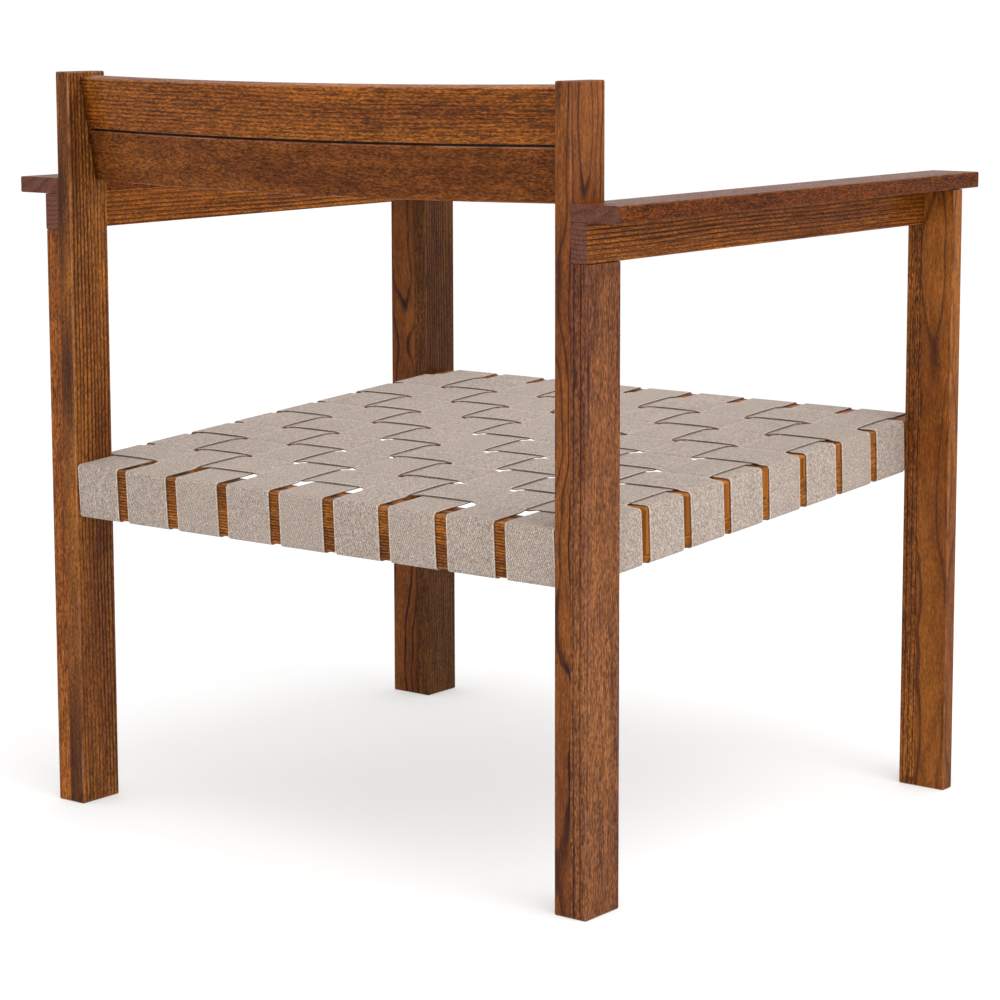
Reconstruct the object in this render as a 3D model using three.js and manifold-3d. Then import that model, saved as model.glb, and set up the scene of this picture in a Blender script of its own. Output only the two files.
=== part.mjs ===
// Wooden armchair with a woven webbing seat.
// Millimetres, +Z up, floor at z = 0. The sitter faces -Y, so the chair's left side is +X.
import * as THREE from "three";
import { mergeVertices } from "three/addons/utils/BufferGeometryUtils.js";
import Module from "manifold-3d";

const wasm = await Module();
wasm.setup();

// Overall size.
const HEIGHT = 700;
const DEPTH = 592;
const INNER_HALF = 282.6; // centre line to the inner face of a rear leg
const ARM_TOP = 600.8;

// Frame boards. Legs and arm rails are all cut from the same board.
const BOARD_T = 16.6;
const BOARD_W = 48;
const ARM_T = 15.2;
const ARM_RAIL_H = 33.8;
const EASE = 1.2; // rounding of the board edges
const JOINT = 0.3; // gap kept between pieces that touch

// Backrest slats, bowed backwards and leaning back.
const SLAT_T = 14.4;
const SLAT_BOW = 15.7;
const SLAT_LEAN = THREE.MathUtils.degToRad(10.3);
const SLAT_GAP = 2.3;
const SLAT_BOTTOM = 597.6; // height of the lower slat's bottom back edge at the legs
const SLAT_INSET = 33.2; // the same edge, measured forward from the legs' back faces

// Seat frame, a flat rectangle that rises towards the front.
const RAIL_T = 2 * BOARD_T;
const RAIL_H = BOARD_W;
const RAIL_EASE = 3;
const SEAT_RISE = THREE.MathUtils.degToRad(3.19);
const SEAT_REAR_TOP = 329.1; // top of the rear rail
const SEAT_FRONT_SETBACK = 12; // front legs' front faces to the front rail

// Webbing.
const STRAP_W = 52;
const STRAP_T = 1.5;
const LONG_STRAPS = 9;
const CROSS_STRAPS = 8;
const STRAP_TAIL = 24; // webbing turned under each rail

// Hidden dowels.
const DOWEL_R = 4;
const DOWEL_CLEARANCE = 0.3;
const DOWEL_SIDES = 12;
const LEG_BORE = 11; // how far a dowel enters a leg board
const RAIL_BORE = 14; // how far a dowel enters a rail or slat

const SIDES = [
  ["left", 1],
  ["right", -1],
];

// Worked out from the driving dimensions.
const LEG_INNER = INNER_HALF + BOARD_T; // outer face of the rear legs' inner boards
const LEG_OUTER = INNER_HALF + 2 * BOARD_T;
const CHAIR_HALF = INNER_HALF + 4 * BOARD_T;
const BACK = DEPTH / 2;
const REAR_LEG_FRONT = BACK - BOARD_W;
const FRONT_LEG_BACK = -BACK + BOARD_W;
const ARM_UNDER = ARM_TOP - ARM_T;
const ARM_RAIL_UNDER = ARM_UNDER - ARM_RAIL_H;

const STRAP_SPACE = JOINT + STRAP_T;
const SEAT_BACK = BACK - STRAP_SPACE - 2 * JOINT;
const SEAT_LENGTH = (SEAT_BACK + BACK - SEAT_FRONT_SETBACK) / Math.cos(SEAT_RISE);
const RAIL_OUTER = LEG_INNER - JOINT;
const RAIL_INNER = RAIL_OUTER - RAIL_T;

const walnut = { color: 0x6b3f22, roughness: 0.5, metalness: 0 };
const walnutDark = { color: 0x5a3420, roughness: 0.55, metalness: 0 };
const linen = { color: 0xbcb0a3, roughness: 0.95, metalness: 0 };
const beech = { color: 0xc9a06a, roughness: 0.7, metalness: 0 };

const chair = new THREE.Group();

function addPiece(parent, name, geometry, finish) {
  const mesh = new THREE.Mesh(geometry, new THREE.MeshStandardMaterial(finish));
  mesh.name = name;
  parent.add(mesh);
  return mesh;
}

// Solid geometry for the booleans: positions only, shared vertices merged.
function toSolid(geometry) {
  const bare = geometry.clone();
  bare.deleteAttribute("normal");
  bare.deleteAttribute("uv");
  const merged = mergeVertices(bare);
  const mesh = new wasm.Mesh({
    numProp: 3,
    vertProperties: new Float32Array(merged.attributes.position.array),
    triVerts: new Uint32Array(merged.index.array),
  });
  return new wasm.Manifold(mesh);
}

function fromSolid(solid) {
  const mesh = solid.getMesh();
  const geometry = new THREE.BufferGeometry();
  geometry.setAttribute("position", new THREE.BufferAttribute(mesh.vertProperties, 3));
  geometry.setIndex(new THREE.BufferAttribute(mesh.triVerts, 1));
  geometry.computeVertexNormals();
  return geometry;
}

function cutAway(geometry, tools) {
  let solid = toSolid(geometry);
  for (const tool of tools) {
    solid = solid.subtract(toSolid(tool));
  }
  return fromSolid(solid);
}

// A box with every edge rounded, given as [low, high] along X, Y and Z.
function easedBox(x, y, z, ease) {
  const width = x[1] - x[0];
  const length = y[1] - y[0];
  const height = z[1] - z[0];
  const corner = 1.5 * ease;
  const right = width / 2 - corner;
  const top = length / 2 - corner;
  const outline = new THREE.Shape();
  outline.absarc(right, top, corner, 0, Math.PI / 2);
  outline.absarc(-right, top, corner, Math.PI / 2, Math.PI);
  outline.absarc(-right, -top, corner, Math.PI, 1.5 * Math.PI);
  outline.absarc(right, -top, corner, 1.5 * Math.PI, 2 * Math.PI);
  const geometry = new THREE.ExtrudeGeometry(outline, {
    depth: height - 2 * ease,
    curveSegments: 3,
    bevelEnabled: true,
    bevelThickness: ease,
    bevelSize: ease,
    bevelOffset: -ease,
    bevelSegments: 2,
  });
  geometry.translate((x[0] + x[1]) / 2, (y[0] + y[1]) / 2, z[0] + ease);
  return geometry;
}

// [low, high] along X of something that lies between two distances from the centre line.
function span(side, near, far) {
  return side > 0 ? [near, far] : [-far, -near];
}

// A round pin or bore from one point to another, lying along X or Y.
function pin(from, to, radius) {
  const start = new THREE.Vector3(...from);
  const end = new THREE.Vector3(...to);
  const geometry = new THREE.CylinderGeometry(radius, radius, start.distanceTo(end), DOWEL_SIDES);
  const direction = end.clone().sub(start).normalize();
  const turn = new THREE.Quaternion().setFromUnitVectors(new THREE.Vector3(0, 1, 0), direction);
  geometry.applyQuaternion(turn);
  geometry.translate(...start.add(end).multiplyScalar(0.5).toArray());
  return geometry;
}

function bore(from, to) {
  return pin(from, to, DOWEL_R + DOWEL_CLEARANCE);
}

// Where the slat dowels sit: on each slat's centre line, level with its ends.
const slatFrame = new THREE.Group();
slatFrame.position.set(0, BACK - SLAT_INSET, SLAT_BOTTOM);
slatFrame.rotation.x = -SLAT_LEAN;
slatFrame.updateMatrixWorld(true);
const SLATS = [
  ["lower", 0],
  ["upper", BOARD_W + SLAT_GAP],
];
const DOWEL_SPREAD = BOARD_W / 4; // dowels sit a quarter of the width either side of the middle
const DOWEL_PAIR = [
  ["lower", -DOWEL_SPREAD],
  ["upper", DOWEL_SPREAD],
];

function slatDowelHeights(start) {
  return DOWEL_PAIR.map(([place, offset]) => [place, start + BOARD_W / 2 + offset]);
}

// The seat frame's own axes: y = 0 on the rear rail's back face, z = 0 on the rails' tops.
const seatFrame = new THREE.Group();
seatFrame.position.set(0, SEAT_BACK, SEAT_REAR_TOP);
seatFrame.rotation.x = -SEAT_RISE;
seatFrame.updateMatrixWorld(true);

// Distance along the seat frame of a vertical plane, at a height in the frame's own axes.
function alongSeat(worldY, z) {
  return (worldY - SEAT_BACK - z * Math.sin(SEAT_RISE)) / Math.cos(SEAT_RISE);
}

const RAIL_DOWELS = DOWEL_PAIR.map(([place, offset]) => [place, -RAIL_H / 2 + offset]);
const REAR_DOWEL_Y = -RAIL_T / 2;
const FRONT_DOWEL_Y = -SEAT_LENGTH + RAIL_T / 2;

function worldPoint(frame, x, y, z) {
  return frame.localToWorld(new THREE.Vector3(x, y, z)).toArray();
}

function buildLegs() {
  for (const [name, side] of SIDES) {
    const innerBoard = easedBox(span(side, INNER_HALF, LEG_INNER), [REAR_LEG_FRONT, BACK], [0, HEIGHT], EASE);
    const bores = [];
    const near = side * (INNER_HALF - BOARD_T);
    const far = side * (INNER_HALF + LEG_BORE);
    for (const [, start] of SLATS) {
      for (const [, height] of slatDowelHeights(start)) {
        const [, y, z] = worldPoint(slatFrame, 0, -SLAT_T / 2, height);
        bores.push(bore([near, y, z], [far, y, z]));
      }
    }
    for (const [, height] of RAIL_DOWELS) {
      const [, y, z] = worldPoint(seatFrame, 0, REAR_DOWEL_Y, height);
      bores.push(bore([near, y, z], [far, y, z]));
    }
    addPiece(chair, `rear_leg_inner_board_${name}`, cutAway(innerBoard, bores), walnut);

    const outerX = span(side, LEG_INNER + JOINT, LEG_OUTER);
    const outerBoard = easedBox(outerX, [REAR_LEG_FRONT, BACK], [0, ARM_RAIL_UNDER - JOINT], EASE);
    addPiece(chair, `rear_leg_outer_board_${name}`, outerBoard, walnut);

    const frontInner = easedBox(
      span(side, LEG_INNER, LEG_OUTER),
      [-BACK, FRONT_LEG_BACK],
      [0, ARM_RAIL_UNDER - JOINT],
      EASE,
    );
    const frontBores = RAIL_DOWELS.map(([, height]) => {
      const [, y, z] = worldPoint(seatFrame, 0, FRONT_DOWEL_Y, height);
      return bore([side * RAIL_INNER, y, z], [side * (LEG_INNER + LEG_BORE), y, z]);
    });
    addPiece(chair, `front_leg_inner_board_${name}`, cutAway(frontInner, frontBores), walnut);

    const frontOuter = easedBox(
      span(side, LEG_OUTER + JOINT, CHAIR_HALF),
      [FRONT_LEG_BACK - BOARD_T, FRONT_LEG_BACK],
      [0, ARM_UNDER],
      EASE,
    );
    addPiece(chair, `front_leg_outer_board_${name}`, frontOuter, walnut);
  }
}

function buildArms() {
  for (const [name, side] of SIDES) {
    const railX = span(side, LEG_INNER + JOINT, LEG_OUTER);
    const rail = easedBox(railX, [-BACK, BACK], [ARM_RAIL_UNDER, ARM_UNDER], EASE);
    addPiece(chair, `arm_rail_${name}`, rail, walnutDark);

    const restX = span(side, LEG_INNER + JOINT, CHAIR_HALF);
    const rest = easedBox(restX, [-BACK, BACK], [ARM_UNDER + JOINT, ARM_TOP], EASE);
    addPiece(chair, `armrest_${name}`, rest, walnut);
  }
}

// A slat's plan is two concentric arcs, its ends cut square to the chair.
function slatGeometry(start) {
  const halfLength = INNER_HALF - JOINT - EASE;
  const backRadius = (INNER_HALF ** 2 + SLAT_BOW ** 2) / (2 * SLAT_BOW);
  const centre = SLAT_BOW - backRadius;
  const outer = backRadius - EASE;
  const inner = backRadius - SLAT_T + EASE;
  const outerHalf = Math.asin(halfLength / outer);
  const innerHalf = Math.asin(halfLength / inner);
  const up = Math.PI / 2;
  const plan = new THREE.Shape();
  plan.absarc(0, centre, outer, up - outerHalf, up + outerHalf, false);
  plan.absarc(0, centre, inner, up + innerHalf, up - innerHalf, true);
  const geometry = new THREE.ExtrudeGeometry(plan, {
    depth: BOARD_W - 2 * EASE,
    curveSegments: 14,
    bevelEnabled: true,
    bevelThickness: EASE,
    bevelSize: EASE,
    bevelSegments: 2,
  });
  geometry.translate(0, 0, start + EASE);
  return geometry;
}

function buildBackrest() {
  chair.add(slatFrame);
  for (const [place, start] of SLATS) {
    const bores = [];
    for (const [, side] of SIDES) {
      for (const [, height] of slatDowelHeights(start)) {
        const inner = side * (INNER_HALF - RAIL_BORE);
        bores.push(bore([inner, -SLAT_T / 2, height], [side * LEG_INNER, -SLAT_T / 2, height]));
      }
    }
    addPiece(slatFrame, `backrest_slat_${place}`, cutAway(slatGeometry(start), bores), walnut);
  }
  for (const [sideName, side] of SIDES) {
    for (const [place, start] of SLATS) {
      for (const [row, height] of slatDowelHeights(start)) {
        const inner = side * (INNER_HALF - RAIL_BORE + JOINT);
        const outer = side * (INNER_HALF + LEG_BORE - JOINT);
        const dowel = pin([inner, -SLAT_T / 2, height], [outer, -SLAT_T / 2, height], DOWEL_R);
        addPiece(slatFrame, `dowel_${place}_slat_${sideName}_${row}`, dowel, beech);
      }
    }
  }
}

function buildSeatRails() {
  chair.add(seatFrame);
  const railZ = [-RAIL_H, 0];
  const lowerZ = -RAIL_H / 2;

  // Rear rail, between the rear legs.
  const rearHalf = INNER_HALF - JOINT;
  const rearBores = [];
  for (const [, side] of SIDES) {
    for (const [, height] of RAIL_DOWELS) {
      const inner = side * (INNER_HALF - RAIL_BORE);
      rearBores.push(bore([inner, REAR_DOWEL_Y, height], [side * LEG_INNER, REAR_DOWEL_Y, height]));
    }
  }
  const rear = easedBox([-rearHalf, rearHalf], [-RAIL_T, 0], railZ, RAIL_EASE);
  addPiece(seatFrame, "seat_rail_rear", cutAway(rear, rearBores), walnutDark);

  // Front rail, between the side rails.
  const frontHalf = RAIL_INNER - JOINT;
  const frontBores = [];
  for (const [, side] of SIDES) {
    for (const [, height] of RAIL_DOWELS) {
      const inner = side * (RAIL_INNER - RAIL_BORE);
      frontBores.push(bore([inner, FRONT_DOWEL_Y, height], [side * RAIL_OUTER, FRONT_DOWEL_Y, height]));
    }
  }
  const front = easedBox([-frontHalf, frontHalf], [-SEAT_LENGTH, -SEAT_LENGTH + RAIL_T], railZ, RAIL_EASE);
  addPiece(seatFrame, "seat_rail_front", cutAway(front, frontBores), walnutDark);

  // Side rails, from the front edge to the rear rail, notched round the rear legs.
  for (const [name, side] of SIDES) {
    const railX = span(side, RAIL_INNER, RAIL_OUTER);
    const rail = easedBox(railX, [-SEAT_LENGTH, -RAIL_T - JOINT], railZ, RAIL_EASE);
    const notch = new THREE.BoxGeometry(RAIL_T, BOARD_W, 2 * RAIL_H);
    notch.rotateX(SEAT_RISE);
    const notchX = side * (INNER_HALF - JOINT + RAIL_T / 2);
    const notchY = alongSeat(REAR_LEG_FRONT - JOINT + BOARD_W / 2, lowerZ);
    notch.translate(notchX, notchY, lowerZ);
    const tools = [notch];
    for (const [, height] of RAIL_DOWELS) {
      const inner = side * (RAIL_INNER - RAIL_T);
      tools.push(bore([inner, FRONT_DOWEL_Y, height], [side * (LEG_OUTER + RAIL_T), FRONT_DOWEL_Y, height]));
    }
    addPiece(seatFrame, `seat_rail_${name}`, cutAway(rail, tools), walnutDark);
  }

  for (const [sideName, side] of SIDES) {
    for (const [row, height] of RAIL_DOWELS) {
      const rearIn = side * (INNER_HALF - RAIL_BORE + JOINT);
      const rearOut = side * (INNER_HALF + LEG_BORE - JOINT);
      const rearDowel = pin([rearIn, REAR_DOWEL_Y, height], [rearOut, REAR_DOWEL_Y, height], DOWEL_R);
      addPiece(seatFrame, `dowel_rear_rail_${sideName}_${row}`, rearDowel, beech);

      const frontIn = side * (RAIL_INNER - RAIL_BORE + JOINT);
      const frontOut = side * (LEG_INNER + LEG_BORE - JOINT);
      const frontDowel = pin([frontIn, FRONT_DOWEL_Y, height], [frontOut, FRONT_DOWEL_Y, height], DOWEL_R);
      addPiece(seatFrame, `dowel_front_leg_${sideName}_${row}`, frontDowel, beech);
    }
  }
}

// A flat ribbon: a centre line in the local XY plane, thickened, and extruded along local Z.
function ribbon(line, width) {
  const upper = [];
  const lower = [];
  for (let i = 0; i < line.length; i += 1) {
    const before = line[Math.max(i - 1, 0)];
    const after = line[Math.min(i + 1, line.length - 1)];
    const into = line[i].clone().sub(before);
    const out = after.clone().sub(line[i]);
    const a = into.lengthSq() > 0 ? into.normalize() : out.clone().normalize();
    const b = out.lengthSq() > 0 ? out.normalize() : a.clone();
    const normal = new THREE.Vector2(-(a.y + b.y), a.x + b.x).normalize();
    const reach = STRAP_T / 2 / normal.dot(new THREE.Vector2(-b.y, b.x));
    upper.push(line[i].clone().addScaledVector(normal, reach));
    lower.push(line[i].clone().addScaledVector(normal, -reach));
  }
  const outline = new THREE.Shape(upper.concat(lower.reverse()));
  return new THREE.ExtrudeGeometry(outline, { depth: width, bevelEnabled: false });
}

const LOW = JOINT + STRAP_T / 2; // centre line of webbing lying on a rail
const HIGH = LOW + STRAP_T + JOINT; // and where it crosses over another strap
const BEND = RAIL_EASE + LOW;
const BEND_STEPS = 3;

// A quarter turn of the centre line round a rail's rounded edge.
function bend(centreX, centreY, startAngle, endAngle) {
  const points = [];
  for (let i = 0; i <= BEND_STEPS; i += 1) {
    const angle = startAngle + ((endAngle - startAngle) * i) / BEND_STEPS;
    points.push(new THREE.Vector2(centreX + BEND * Math.cos(angle), centreY + BEND * Math.sin(angle)));
  }
  return points;
}

// An S-curve between two heights.
const STEP_SHAPE = [0, 0.25, 0.75, 1];
const STEP_PLACES = [0, 0.36, 0.64, 1];
function step(fromX, toX, fromHeight, toHeight) {
  return STEP_PLACES.map((place, i) => {
    const x = fromX + (toX - fromX) * place;
    return new THREE.Vector2(x, fromHeight + (toHeight - fromHeight) * STEP_SHAPE[i]);
  });
}

// Centre line of a strap that wraps two rails and passes over or under a row of crossings.
// end: distance of both rail faces from zero. cells: [near, far, height], rising along x.
function wovenLine(lowEnd, highEnd, cells) {
  const under = -RAIL_H - LOW;
  const line = [new THREE.Vector2(lowEnd + STRAP_TAIL, under)];
  line.push(...bend(lowEnd + RAIL_EASE, -RAIL_H + RAIL_EASE, 1.5 * Math.PI, Math.PI));
  line.push(...bend(lowEnd + RAIL_EASE, -RAIL_EASE, Math.PI, Math.PI / 2));
  let x = cells[0][0] - CROSS_GAP;
  let height = LOW;
  for (const [near, far, next] of cells) {
    if (next !== height) {
      line.push(...step(x, near, height, next));
    }
    x = far;
    height = next;
  }
  if (height !== LOW) {
    line.push(...step(x, x + CROSS_GAP, height, LOW));
  }
  line.push(...bend(highEnd - RAIL_EASE, -RAIL_EASE, Math.PI / 2, 0));
  line.push(...bend(highEnd - RAIL_EASE, -RAIL_H + RAIL_EASE, 0, -Math.PI / 2));
  line.push(new THREE.Vector2(highEnd - STRAP_TAIL, under));
  return line;
}

// Positions of the straps. Columns count from the left (+X), rows from the front.
const columnHalf = INNER_HALF - JOINT - JOINT;
const columnPitch = (2 * columnHalf - STRAP_W) / (LONG_STRAPS - 1);
const rowFront = alongSeat(FRONT_LEG_BACK + JOINT, -RAIL_H - STRAP_SPACE);
const rowBack = alongSeat(REAR_LEG_FRONT - JOINT, HIGH);
const rowPitch = (rowBack - rowFront - STRAP_W) / (CROSS_STRAPS - 1);
const CROSS_GAP = rowPitch - STRAP_W;

function columnLow(column) {
  return columnHalf - STRAP_W - (column - 1) * columnPitch;
}

function rowLow(row) {
  return rowFront + (row - 1) * rowPitch;
}

// Plain weave: the lengthwise strap lies on top where column + row is even.
function lengthwiseOnTop(column, row) {
  return (column + row) % 2 === 0;
}

function buildWebbing() {
  for (let column = 1; column <= LONG_STRAPS; column += 1) {
    const cells = [];
    for (let row = 1; row <= CROSS_STRAPS; row += 1) {
      const height = lengthwiseOnTop(column, row) ? HIGH : LOW;
      cells.push([rowLow(row), rowLow(row) + STRAP_W, height]);
    }
    const strap = ribbon(wovenLine(-SEAT_LENGTH, 0, cells), STRAP_W);
    // The line runs along Y, the ribbon's width along X.
    strap.applyMatrix4(new THREE.Matrix4().makeBasis(
      new THREE.Vector3(0, 1, 0),
      new THREE.Vector3(0, 0, 1),
      new THREE.Vector3(1, 0, 0),
    ));
    strap.translate(columnLow(column), 0, 0);
    addPiece(seatFrame, `webbing_lengthwise_${column}`, strap, linen);
  }

  for (let row = 1; row <= CROSS_STRAPS; row += 1) {
    const cells = [];
    for (let column = LONG_STRAPS; column >= 1; column -= 1) {
      const height = lengthwiseOnTop(column, row) ? LOW : HIGH;
      cells.push([columnLow(column), columnLow(column) + STRAP_W, height]);
    }
    const strap = ribbon(wovenLine(-RAIL_OUTER, RAIL_OUTER, cells), STRAP_W);
    // The line runs along X, the ribbon's width along -Y.
    strap.rotateX(Math.PI / 2);
    strap.translate(0, rowLow(row) + STRAP_W, 0);
    addPiece(seatFrame, `webbing_crosswise_${row}`, strap, linen);
  }
}

buildLegs();
buildArms();
buildBackrest();
buildSeatRails();
buildWebbing();

export default chair;
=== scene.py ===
"""Looks of the wooden armchair with a woven webbing seat.

Metres, in the CAD's frame: +Z up, the sitter faces -Y, the chair's left side is +X.
"""

import math
import random

import bpy
from mathutils import Matrix, Vector


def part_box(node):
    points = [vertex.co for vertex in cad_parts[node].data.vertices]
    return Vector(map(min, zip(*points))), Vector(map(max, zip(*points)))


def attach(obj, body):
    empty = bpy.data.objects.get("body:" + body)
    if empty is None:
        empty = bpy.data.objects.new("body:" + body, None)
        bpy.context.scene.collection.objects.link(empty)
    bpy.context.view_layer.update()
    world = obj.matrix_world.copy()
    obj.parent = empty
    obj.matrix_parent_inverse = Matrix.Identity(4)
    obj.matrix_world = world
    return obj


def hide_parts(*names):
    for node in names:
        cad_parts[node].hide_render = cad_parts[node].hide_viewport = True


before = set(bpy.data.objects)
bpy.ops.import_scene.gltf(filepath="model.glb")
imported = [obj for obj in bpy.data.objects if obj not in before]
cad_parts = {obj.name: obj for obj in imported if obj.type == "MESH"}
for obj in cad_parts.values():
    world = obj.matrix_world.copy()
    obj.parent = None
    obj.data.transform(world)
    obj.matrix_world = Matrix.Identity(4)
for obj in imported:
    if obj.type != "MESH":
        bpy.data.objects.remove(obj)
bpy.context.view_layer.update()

# Driving sizes that the frame's boxes don't give, the same as the CAD's.
JOINT = 0.0003
SLAT_T = 0.0144
SLAT_H = 0.048
SLAT_BOW = 0.0157
SLAT_GAP = 0.0023
SLAT_LEAN = math.radians(10.3)
SLAT_BOTTOM = 0.5976  # height of the lower slat's bottom back edge at the legs
SLAT_INSET = 0.0332  # the same edge, measured forward from the legs' back faces
SEAT_RISE = math.radians(3.19)
SEAT_REAR_TOP = 0.3291
SEAT_FRONT_SETBACK = 0.012
STRAP_W = 0.052
STRAP_T = 0.0015
CLOTH_T = 0.0013  # the webbing itself; the rest of STRAP_T is the looseness of its weave
STRAP_TAIL = 0.024
LONG_STRAPS = 9
CROSS_STRAPS = 8

# Worked out from the frame's boxes.
LEG_LOW, LEG_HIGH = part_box("rear_leg_inner_board_left")
BOARD_T = LEG_HIGH.x - LEG_LOW.x
BOARD_W = LEG_HIGH.y - LEG_LOW.y
INNER_HALF = LEG_LOW.x
BACK = LEG_HIGH.y
RAIL_T = 2 * BOARD_T
RAIL_H = BOARD_W
SEAT_BACK = BACK - STRAP_T - 3 * JOINT
SEAT_LENGTH = (SEAT_BACK + BACK - SEAT_FRONT_SETBACK) / math.cos(SEAT_RISE)
RAIL_OUTER = LEG_HIGH.x - JOINT
RAIL_INNER = RAIL_OUTER - RAIL_T

# Edge rounding: sanded edges in the open, and crisp ones where boards are glued together.
OPEN_EDGE = 0.0016
GLUED_EDGE = 0.0002
FLUSH_EDGE = 0.0004  # ends planed level with the legs
SLAT_EDGE = 0.0016
SLOT_FRONT_EDGE = 0.0005  # along the slot between the slats, on the sitter's side
SLOT_TOP_EDGE = 0.0006  # and behind: the upper slat's edge
SLOT_BOTTOM_EDGE = 0.0014  # and the lower slat's
RAIL_EDGE = 0.0022
CLOTH_EDGE = 0.0005
ARC_STEPS = 4
SUPPORT = 0.0004  # flat strip kept beside each rounding so that the faces shade flat
SUPPORT_SHARE = 0.4  # and at most this share of a narrow face
LEAST_RADIUS = 0.1  # share of a corner's radius that is left where the outline shrinks
BOW_STEPS = 48  # stations along a bowed slat

SEAT = Matrix.Translation((0, SEAT_BACK, SEAT_REAR_TOP)) @ Matrix.Rotation(-SEAT_RISE, 4, "X")
SLATS = Matrix.Translation((0, BACK - SLAT_INSET, SLAT_BOTTOM)) @ Matrix.Rotation(-SLAT_LEAN, 4, "X")


# ---------------------------------------------------------------- meshes


def rounded_section(width, thickness, radii, inset):
    """A rounded rectangle, counter-clockwise from its +x side, as (x, y, roundness) points.

    radii are those of the corners (+x+y, -x+y, -x-y, +x-y). inset shrinks the whole outline.
    """
    half_w = width / 2 - inset
    half_t = thickness / 2 - inset
    points = []
    signs = [(1, 1), (-1, 1), (-1, -1), (1, -1)]
    for quarter, ((sx, sy), radius) in enumerate(zip(signs, radii)):
        radius = max(radius - inset, LEAST_RADIUS * radius)
        cx, cy = sx * (half_w - radius), sy * (half_t - radius)
        flat = min(SUPPORT, SUPPORT_SHARE * (min(half_w, half_t) - radius))
        start = quarter * math.pi / 2
        ex, ey = math.cos(start), math.sin(start)
        points.append((cx + radius * ex + flat * ey, cy + radius * ey - flat * ex, 0))
        for i in range(ARC_STEPS + 1):
            angle = start + math.pi / 2 * i / ARC_STEPS
            roundness = 1 if 0 < i < ARC_STEPS else 0
            points.append((cx + radius * math.cos(angle), cy + radius * math.sin(angle), roundness))
        points.append((cx - radius * ey - flat * ex, cy + radius * ex - flat * ey, 0))
    return points


def rounded_end(half_length, radius):
    """Stations (position along, inset, roundness) of a low end, from the cap's middle outwards."""
    low = -half_length
    stations = [(low, radius + SUPPORT, 0), (low, radius, 0)]
    for i in range(1, ARC_STEPS):
        angle = math.pi / 2 * i / ARC_STEPS
        stations.append((low + radius * (1 - math.cos(angle)), radius * (1 - math.sin(angle)), 1))
    stations += [(low + radius, 0, 0), (low + radius + SUPPORT, 0, 0)]
    return stations


def length_stations(length, end_radii, steps=1):
    """Stations along a whole board, with both ends rounded."""
    half = length / 2
    first = rounded_end(half, end_radii[0])
    last = rounded_end(half, end_radii[1])
    last = [(-along, inset, roundness) for along, inset, roundness in reversed(last)]
    start, stop = first[-1][0], last[0][0]
    middle = [(start + (stop - start) * i / steps, 0, 0) for i in range(1, steps)]
    return first + middle + last


def sweep(name, section, stations, place):
    """A closed mesh: section(inset, along) placed at every station by place(x, y, along).

    It keeps each point's place in the straight board as the attribute "grain", and how much of
    a rounded edge it is on as "edge".
    """
    verts, grain, edge, rings = [], [], [], []
    for along, inset, roundness in stations:
        ring = []
        for x, y, corner in section(inset, along):
            ring.append(len(verts))
            verts.append(place(x, y, along))
            grain += (x, y, along)
            edge.append(float(max(roundness, corner)))
        rings.append(ring)
    faces = [list(reversed(rings[0])), rings[-1]]
    count = len(rings[0])
    for low, high in zip(rings, rings[1:]):
        for i in range(count):
            j = (i + 1) % count
            faces.append([low[i], low[j], high[j], high[i]])
    mesh = bpy.data.meshes.new(name)
    mesh.from_pydata([tuple(v) for v in verts], [], faces)
    mesh.attributes.new("grain", "FLOAT_VECTOR", "POINT").data.foreach_set("vector", grain)
    mesh.attributes.new("edge", "FLOAT", "POINT").data.foreach_set("value", edge)
    mesh.polygons.foreach_set("use_smooth", [True] * len(faces))
    mesh.update()
    obj = bpy.data.objects.new(name, mesh)
    bpy.context.scene.collection.objects.link(obj)
    return obj


def stand_in(obj, node, material):
    """Puts a mesh in the place of a CAD node."""
    obj.data.materials.append(material)
    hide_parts(node)
    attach(obj, "root")


# ------------------------------------------------------------- materials


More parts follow.
